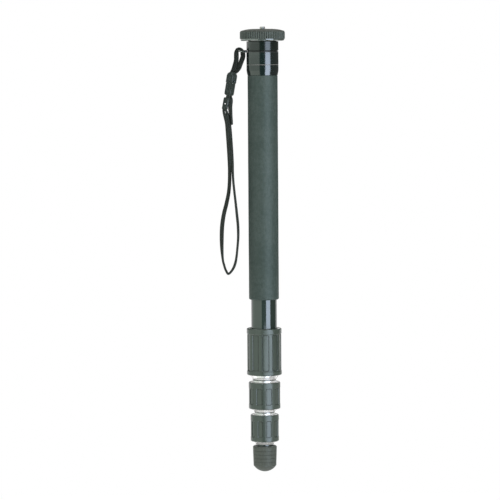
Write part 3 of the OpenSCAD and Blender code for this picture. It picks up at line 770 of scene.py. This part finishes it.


# black anodised metal: fine blasted grain, pale on the crests, partly rubbed wear and partly painted
# highlight, painted shade in the knurl grooves, and a glossy band under the knurl
def makePlatformFinish(v):
    material, shader, place = startFinish("knurledBlack", {
        "IOR": v["ior"], "Coat IOR": v["coatIor"], "Coat Roughness": v["coatRoughness"]})
    turnedBand = 1 - place.axis(2).between(v["bandTop"] - v["bandFade"], v["bandTop"])
    soft, edge = edgeMask(place, *v["edge"])
    grain = place.noise(*v["grain"])
    rub = place.noise(*v["rub"]).between(*v["rubRange"])
    worn = edge * (rub * v["rubWear"] + v["leastWear"])
    surface = (worn + (grain - noiseMiddle) * v["grainColour"]).mix(rgb(v["colour"]), rgb(v["worn"]))
    # painted shade turns the grooves deep, and painted highlight with wear makes the crests pale
    feed(shader,
         colour=openness(place, v["reach"]).between(*v["openRange"]).mix(rgb(v["deep"]), surface),
         rough=v["roughness"] + grain * v["grainRough"] - worn * v["wornSmooth"],
         coat=turnedBand,
         normal=bump(grain, *v["bump"], soft))
    return material


padFinish = {
    "colour": (0.044, 0.049, 0.04),
    "pale": (0.074, 0.079, 0.066),
    "ior": 1.5,
    "ringPitch": 0.0011,
    "rimRange": (0.0226, 0.0232),
    "grain": (2600.0, 3.0, 0.6),
    "scuff": (170.0, 5.0, 0.65),
    "scuffRange": (0.52, 0.75),
    "scuffColour": 0.6,
    "grainColour": 0.25,
    "roughness": 0.62,
    "grainRough": 0.15,
    "grainHeight": 0.12,
    "bump": (0.00016, 0.8),
}


# rubber pad with fine moulded rings inside its rim
def makePadFinish(v):
    material, shader, place = startFinish("padRubber", {"IOR": v["ior"]})
    x, y = place.axis(0), place.axis(1)
    radius = (x * x + y * y) ** 0.5
    rings = radius.ridges(v["ringPitch"])
    grain = place.noise(*v["grain"])
    scuff = place.noise(*v["scuff"]).between(*v["scuffRange"])
    inside = 1 - radius.between(*v["rimRange"])
    worn = scuff * v["scuffColour"] + grain * v["grainColour"]
    feed(shader,
         colour=worn.mix(rgb(v["colour"]), rgb(v["pale"])),
         rough=v["roughness"] + grain * v["grainRough"],
         normal=bump(rings * inside + grain * v["grainHeight"], *v["bump"]))
    return material


# Satin moulded rubber: spark-eroded grain, a little paler on its edges, partly rubbed wear and partly
# painted highlight, and painted shade in its corners and recesses
rubberDetail = {
    "edge": (0.00035, 6.0),
    "grain": (3.0, 0.65),  # detail and roughness, as each rubber has its own scale
    "cloud": (70.0, 4.0, 0.6),
    "rub": (300.0, 4.0, 0.7),
    "rubRange": (0.45, 0.75),
    "edgeColour": 0.25,
    "rubColour": 0.5,
    "cloudColour": 0.4,
    "grainColour": 0.35,
    "wideReach": 0.0022,
    "wideOpen": 0.96,
    "closeReach": 0.0009,
    "closeOpen": 0.93,
    "closeEasier": 0.15,
    "grainRough": 0.14,
    "cloudRough": 0.08,
    "grainHeight": 0.5,
    "ringHeight": 0.15,
    "bump": (0.00007, 0.6),
}

nutRubberFinish = {
    "colour": (0.068, 0.09, 0.076),
    "pale": (0.14, 0.16, 0.147),
    # deep and shut: the colour and onset of the painted shade in corners and recesses
    "deep": (0.01, 0.013, 0.012),
    "shut": 0.72,
    "ior": 1.58,
    "roughness": 0.16,
    "grain": 2300.0,
}

footFinish = {
    "colour": (0.089, 0.102, 0.087),
    "pale": (0.165, 0.17, 0.152),
    # deep and shut: the colour and onset of the painted shade in corners and recesses
    "deep": (0.02, 0.022, 0.02),
    "shut": 0.3,
    "ior": 1.42,
    "roughness": 0.5,
    "grain": 1900.0,
    "ringPitch": 0.0011,
}


def makeRubber(name, v, d):
    material, shader, place = startFinish(name, {"IOR": v["ior"]})
    soft, edge = edgeMask(place, *d["edge"])
    grain = place.noise(v["grain"], *d["grain"])
    cloud = place.noise(*d["cloud"])
    rub = place.noise(*d["rub"]).between(*d["rubRange"])
    # paler edges: partly rubbed wear and partly painted highlight
    pale = (edge * (d["edgeColour"] + rub * d["rubColour"]) + (cloud - noiseMiddle) * d["cloudColour"]
            + (grain - noiseMiddle) * d["grainColour"])
    height = grain * d["grainHeight"]
    if "ringPitch" in v:
        height = height + place.axis(2).ridges(v["ringPitch"]) * d["ringHeight"]
    # painted shade: the colour turns deep where the surface is shut in
    wide = openness(place, d["wideReach"]).between(v["shut"], d["wideOpen"])
    close = openness(place, d["closeReach"]).between(v["shut"] - d["closeEasier"], d["closeOpen"])
    feed(shader,
         colour=(wide * close).mix(rgb(v["deep"]), pale.mix(rgb(v["colour"]), rgb(v["pale"]))),
         rough=v["roughness"] + grain * d["grainRough"] + (cloud - noiseMiddle) * d["cloudRough"],
         normal=bump(height, *d["bump"], soft))
    return material


# Metal turned on a lathe: fine rings round the axis, smears and small pits
turnedDetail = {
    "ringStretch": (0, 0, 9000.0),
    "ring": (1.0, 3.0, 0.7),
    "ringColour": 0.5,
    "ringRough": 0.12,
    "smear": (160.0, 4.0, 0.6),
    "smearMiddle": 0.45,
    "smearColour": 0.6,
    "smearRange": (0.45, 0.75),
    "smearRough": 0.1,
    "pits": (2400.0, 2.0),
    "pitRange": (0.68, 0.8),
    "pitColour": 0.35,
    "bump": (0.00001, 0.5),
}

aluminiumFinish = {
    "colour": (0.99, 0.98, 0.965),
    "dull": (0.86, 0.85, 0.835),
    "metallic": 0.42,
    "roughness": 0.12,
}

screwFinish = {
    "colour": (0.6, 0.59, 0.56),
    "dull": (0.36, 0.35, 0.33),
    "metallic": 1.0,
    "roughness": 0.24,
}


def makeTurnedMetal(name, v, d):
    material, shader, place = startFinish(name, {"Metallic": v["metallic"]})
    rings = place.stretch(*d["ringStretch"]).noise(*d["ring"])
    smear = place.noise(*d["smear"])
    pits = place.noise(*d["pits"]).between(*d["pitRange"])
    dull = ((rings - noiseMiddle) * d["ringColour"] + (smear - d["smearMiddle"]) * d["smearColour"]
            + pits * d["pitColour"])
    smeared = smear.between(*d["smearRange"])
    feed(shader,
         colour=dull.mix(rgb(v["colour"]), rgb(v["dull"])),
         rough=v["roughness"] + rings * d["ringRough"] + smeared * d["smearRough"],
         normal=bump(rings, *d["bump"]))
    return material


wireFinish = {
    "colour": (0.36, 0.37, 0.36),
    # black: colour of the painted shade where the wire lies in the neck's groove
    "black": (0.014, 0.017, 0.016),
    "bareSteelFrom": 0.0195,
    "bareSteelFade": 0.0015,
    "bareSteelWander": 0.001,
    "scuff": (1400.0, 3.0, 0.6),
    "roughness": 0.22,
    "scuffRough": 0.12,
    "bump": (0.00001, 0.5),
}


# steel wire, bare on the bail and black where it lies in the neck's groove, a painted shade of the groove
def makeWire(v):
    material, shader, place = startFinish("ringWire", {})
    x = place.axis(0)
    scuff = place.noise(*v["scuff"])
    bareSteel = (0 - x + (scuff - noiseMiddle) * v["bareSteelWander"]).between(
        v["bareSteelFrom"], v["bareSteelFrom"] + v["bareSteelFade"])
    feed(shader,
         colour=bareSteel.mix(rgb(v["black"]), rgb(v["colour"])),
         metal=bareSteel,
         rough=v["roughness"] + scuff * v["scuffRough"],
         normal=bump(scuff, *v["bump"]))
    return material


# Moulded plastic: faint flow marks, paler on its edges, partly wear and partly painted highlight, and
# painted shade in its recesses
mouldedDetail = {
    "ior": 1.5,
    "edge": (0.00025, 6.0),
    "edgeColour": 0.5,
    "grain": (2800.0, 2.0, 0.6),
    "grainRough": 0.12,
    "flow": (4.0, 0.6),  # detail and roughness, as each plastic has its own scale
    "flowMiddle": 0.42,
    "flowColour": 0.6,
    "flowRough": 0.12,
    "reach": 0.003,
    "openRange": (0.2, 0.95),
    # recess: the colour of the painted shade in recesses, as a share of the colour
    "recess": 0.25,
    "bump": (0.00003, 0.5),
}

nylonFinish = {"colour": (0.72, 0.7, 0.63), "pale": (0.82, 0.81, 0.76), "roughness": 0.45, "flow": 120.0}
plugFinish = {"colour": (0.05, 0.052, 0.05), "pale": (0.09, 0.092, 0.09), "roughness": 0.5, "flow": 120.0}
buckleFinish = {
    "colour": (0.026, 0.034, 0.03),
    "pale": (0.16, 0.175, 0.163),
    "roughness": 0.22,
    # flow mottling this fine is partly painted highlight
    "flow": 420.0,
}


def makeMoulded(name, v, d):
    material, shader, place = startFinish(name, {"IOR": d["ior"]})
    soft, edge = edgeMask(place, *d["edge"])
    grain = place.noise(*d["grain"])
    flow = place.noise(v["flow"], *d["flow"])
    pale = edge * d["edgeColour"] + (flow - d["flowMiddle"]) * d["flowColour"]
    # painted shade in recesses
    recess = rgb([c * d["recess"] for c in v["colour"]])
    feed(shader,
         colour=openness(place, d["reach"]).between(*d["openRange"]).mix(
             recess, pale.mix(rgb(v["colour"]), rgb(v["pale"]))),
         rough=v["roughness"] + grain * d["grainRough"] + (flow - noiseMiddle) * d["flowRough"],
         normal=bump(grain, *d["bump"], soft))
    return material


# Woven nylon: painted highlight on the crests of the strands and painted shade in the valleys, with fine
# filaments along them
wovenDetail = {
    "filamentsRound": 260,
    "fibre": (1.0, 3.0, 0.7),
    "fibreColour": 0.7,
    "fibreRough": 0.1,
    "crestRange": (0.35, 1.0),
    "crestColour": 0.45,
    "crestHeight": 0.4,
    "valleyRough": 0.25,
    "fade": (90.0, 3.0),
    "fadeColour": 0.35,
    "bump": (0.00004, 0.7),
}

# In each woven finish, deep is the colour of the painted shade in the valleys and thread the colour of the
# crests with their painted highlight
webFinish = {
    "deep": (0.007, 0.009, 0.0075),
    "thread": (0.056, 0.067, 0.056),
    "roughness": 0.5,
    "ior": 1.36,
    "filaments": 2400.0,
}

braidFinish = {
    "deep": (0.0015, 0.002, 0.0018),
    "thread": (0.042, 0.05, 0.044),
    "roughness": 0.45,
    "ior": 1.2,
    "filaments": 2600.0,
}


def makeWoven(name, v, d):
    material, shader, place = startFinish(name, {"IOR": v["ior"]})
    weave = place.make("Attribute", {"attribute_name": "weave"}, out=1)
    fibre = weave.stretch(v["filaments"], d["filamentsRound"], 0).noise(*d["fibre"])
    fade = place.noise(*d["fade"])
    height = weave.axis(2).between(*d["crestRange"])
    litCrestsAndFade = height * (d["crestColour"] + fibre * d["fibreColour"]) + (fade - noiseMiddle) * d["fadeColour"]
    feed(shader,
         colour=litCrestsAndFade.mix(rgb(v["deep"]), rgb(v["thread"])),
         rough=v["roughness"] + (1 - height) * d["valleyRough"] + fibre * d["fibreRough"],
         normal=bump(fibre + height * d["crestHeight"], *d["bump"]))
    return material


finishes = {
    "screw_steel": makeTurnedMetal("zincSteel", screwFinish, turnedDetail),
    "ring_wire": makeWire(wireFinish),
    "pad_rubber": makePadFinish(padFinish),
    "platform_black": makePlatformFinish(platformFinish),
    "nylon_white": makeMoulded("naturalNylon", nylonFinish, mouldedDetail),
    "cap_black": makeGlossBlack("satinCap", capFinish, glossDetail),
    "neck_gloss": makeGlossBlack("glossNeck", neckFinish, glossDetail),
    "grip_foam": makeFoamFinish(foamFinish),
    "tube_black": makeGlossBlack("glossTube", tubeFinish, glossDetail),
    "bright_aluminium": makeTurnedMetal("polishedAluminium", aluminiumFinish, turnedDetail),
    "nut_rubber": makeRubber("nutRubber", nutRubberFinish, rubberDetail),
    "foot_rubber": makeRubber("footRubber", footFinish, rubberDetail),
    "plug_plastic": makeMoulded("plugPlastic", plugFinish, mouldedDetail),
    "strap_braid": makeWoven("blackBraid", braidFinish, wovenDetail),
    "strap_webbing": makeWoven("blackWebbing", webFinish, wovenDetail),
    "buckle_plastic": makeMoulded("buckleAcetal", buckleFinish, mouldedDetail),
}

for part in frame["record"]["subparts"]:
    mesh = nodes[part["node"]].data
    mesh.materials.clear()
    mesh.materials.append(finishes[part["material_slot"]])
for piece in (hanger, loop, tail, link, screw, foam, ribs, pinholeShade, *sleeves):
    piece.data.materials.append(finishes[piece["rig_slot"]])
print("materials made:", len(finishes))

# Studio: white surround, and soft lights from the right, above and behind
studio = {
    "ambient": 0.33,
    "floorHeight": -1.4702,  # just under the foot of the drawn-out pole
    "floorHalf": 6.0,
    "floorAlbedo": 0.82,
    "floorGlow": 0.55,
    "floorSeenGlow": 0.18,  # added where the floor is looked at
    "lamps": [
        {"name": "sideSoftbox", "azimuth": 31, "distance": 0.55, "height": 0.08, "size": (0.3, 1.1),
         "level": 2.75, "tint": (1.0, 0.97, 0.96)},
        {"name": "backSoftbox", "azimuth": 180, "distance": 1.6, "height": 0.2, "size": (0.4, 1.3),
         "level": 1.6, "tint": (1.0, 1.0, 1.0)},
    ],
    "topLamp": {"name": "topSoftbox", "place": (0, -0.2, 1.3), "size": (1.6, 1.6), "level": 0.8},
}

# Bent cards round the pole, each over an arc of azimuths and from a low to a top height: reflections
# see them all, and diffuse light only those marked as flags
cardForm = {"radius": 0.32, "nearRadius": 0.312, "low": -1.35, "top": 0.5, "columns": 24}
leftArc, rightArc, shortRightArc, brightArc = (-121, -21), (57, 162), (57, 122), (19.5, 55.5)
leftTint, rightTint, brightTint = (0.86, 1.0, 0.88), (0.95, 1.0, 0.95), (0.7, 0.82, 1.0)
neckTop, neckLow = -0.0235, -0.055
cards = [
    {"name": "leftBackCard", "arc": (-179, -121), "level": 0.1, "tint": (0.86, 1.0, 0.92), "top": neckTop,
     "low": -0.3},
    {"name": "leftTopCard", "arc": leftArc, "level": 1.25, "tint": (0.88, 1.0, 0.92), "low": neckTop},
    {"name": "leftNeckCard", "arc": leftArc, "level": 0.68, "tint": (0.84, 1.0, 0.9), "top": neckTop,
     "low": neckLow},
    {"name": "leftCard", "arc": leftArc, "level": 0.93, "tint": leftTint, "top": neckLow, "low": -0.53},
    {"name": "leftLowCard", "arc": leftArc, "level": 2.2, "tint": (0.95, 1.0, 0.93), "top": -0.53,
     "low": -0.8},
    {"name": "leftLongCard", "arc": leftArc, "level": 0.93, "tint": leftTint, "top": -0.8},
    {"name": "frontCard", "arc": (-21, 18.5), "level": 0.1, "tint": (0.4, 1.0, 1.0)},
    {"name": "brightTopCard", "arc": brightArc, "level": 3.8, "tint": brightTint, "low": neckTop},
    {"name": "brightCard", "arc": brightArc, "level": 5.1, "tint": brightTint, "top": neckTop, "low": -0.42},
    {"name": "brightLowCard", "arc": brightArc, "level": 4.4, "tint": brightTint, "top": -0.42},
    {"name": "rightCard", "arc": rightArc, "level": 0.12, "tint": rightTint, "low": -0.3, "flag": True},
    {"name": "rightTubeCard", "arc": shortRightArc, "level": 0.03, "tint": rightTint, "top": -0.3,
     "low": -0.41, "flag": True},
    {"name": "rightLowCard", "arc": rightArc, "level": 0.5, "tint": rightTint, "top": -0.41, "low": -0.53},
    {"name": "rightLongCard", "arc": shortRightArc, "level": 0.1, "tint": rightTint, "top": -0.53},
    {"name": "nutCard", "arc": (-3, 52), "level": 3.2, "tint": (0.74, 0.88, 1.0), "top": -0.357,
     "low": -0.42, "radius": cardForm["nearRadius"]},
    {"name": "lowCard", "arc": (4, 19.5), "level": 2.6, "tint": (0.8, 0.92, 1.0), "top": -0.42,
     "low": -0.53, "radius": cardForm["nearRadius"]},
]


# 1 where the camera, a reflection or glass looks, 0 where light bounces
def lookedAt(tree):
    start = Shade(tree)
    camera = start.make("LightPath", out=0)
    glossy = start.make("LightPath", out=3)
    through = start.make("LightPath", out=6)
    return (camera + glossy + through).between(0.0, 1.0)


def makeSurround(v):
    world = bpy.data.worlds.new("whiteSurround")
    scene.world = world
    world.use_nodes = True
    background = world.node_tree.nodes["Background"]
    background.inputs["Color"].default_value = (1, 1, 1, 1)
    strength = v["ambient"] + lookedAt(world.node_tree) * (1 - v["ambient"])
    world.node_tree.links.new(strength.socket, background.inputs["Strength"])


# a mesh of the studio and its material, which still needs a surface
def addStage(name, paintName, verts, faces):
    mesh = bpy.data.meshes.new(name)
    mesh.from_pydata(verts, [], faces)
    board = bpy.data.objects.new(name, mesh)
    scene.collection.objects.link(board)
    paint = bpy.data.materials.new(paintName)
    paint.use_nodes = True
    paint.node_tree.nodes.remove(paint.node_tree.nodes["Principled BSDF"])
    mesh.materials.append(paint)
    return board, paint


def showSurface(shade):
    shade.tree.links.new(shade.socket, shade.tree.nodes["Material Output"].inputs["Surface"])


def makeFloor(v):
    half, z = v["floorHalf"], v["floorHeight"]
    corners = [(-half, -half, z), (half, -half, z), (half, half, z), (-half, half, z)]
    tree = addStage("studioFloor", "paleFloor", corners, [(0, 1, 2, 3)])[1].node_tree
    start = Shade(tree)
    matt = start.make("BsdfDiffuse", None, {"Color": rgb([v["floorAlbedo"]] * 3)})
    strength = v["floorGlow"] + lookedAt(tree) * v["floorSeenGlow"]
    glow = start.make("Emission", None, {"Color": (1, 1, 1, 1), "Strength": strength})
    showSurface(start.make("AddShader", None, {0: matt, 1: glow}))


def addSoftbox(name, size, level, place):
    wide, tall = size
    data = bpy.data.lights.new(name, "AREA")
    data.shape, data.size, data.size_y = "RECTANGLE", wide, tall
    data.energy = level * math.pi * wide * tall
    light = bpy.data.objects.new(name, data)
    light.location = place
    light.visible_camera = light.visible_glossy = False
    scene.collection.objects.link(light)
    return light


def makeLamps(v):
    for lamp in v["lamps"]:
        a = math.radians(lamp["azimuth"])
        out = Vector((math.sin(a), -math.cos(a), 0))
        place = out * lamp["distance"] + Vector((0, 0, lamp["height"]))
        light = addSoftbox(lamp["name"], lamp["size"], lamp["level"], place)
        light.data.color = lamp["tint"]
        light.rotation_mode = "QUATERNION"
        light.rotation_quaternion = (-out).to_track_quat("-Z", "Y")
    addSoftbox(**v["topLamp"])


def makeCard(card, v):
    count = v["columns"]
    radius = card.get("radius", v["radius"])
    angles = np.radians(np.linspace(*card["arc"], count))
    ring = [(radius * math.sin(a), -radius * math.cos(a)) for a in angles]
    verts = [(x, y, h) for h in (card.get("low", v["low"]), card.get("top", v["top"])) for x, y in ring]
    faces = [(i, i + 1, count + i + 1, count + i) for i in range(count - 1)]
    board, paint = addStage(card["name"], card["name"], verts, faces)
    board.visible_camera = board.visible_shadow = board.visible_transmission = False
    board.visible_diffuse = card.get("flag", False)
    glow = {"Color": rgb(card["tint"]), "Strength": card["level"]}
    showSurface(Shade(paint.node_tree).make("Emission", None, glow))
    paint.cycles.emission_sampling = "NONE"


makeSurround(studio)
makeFloor(studio)
makeLamps(studio)
for card in cards:
    makeCard(card, cardForm)
print("studio lit")
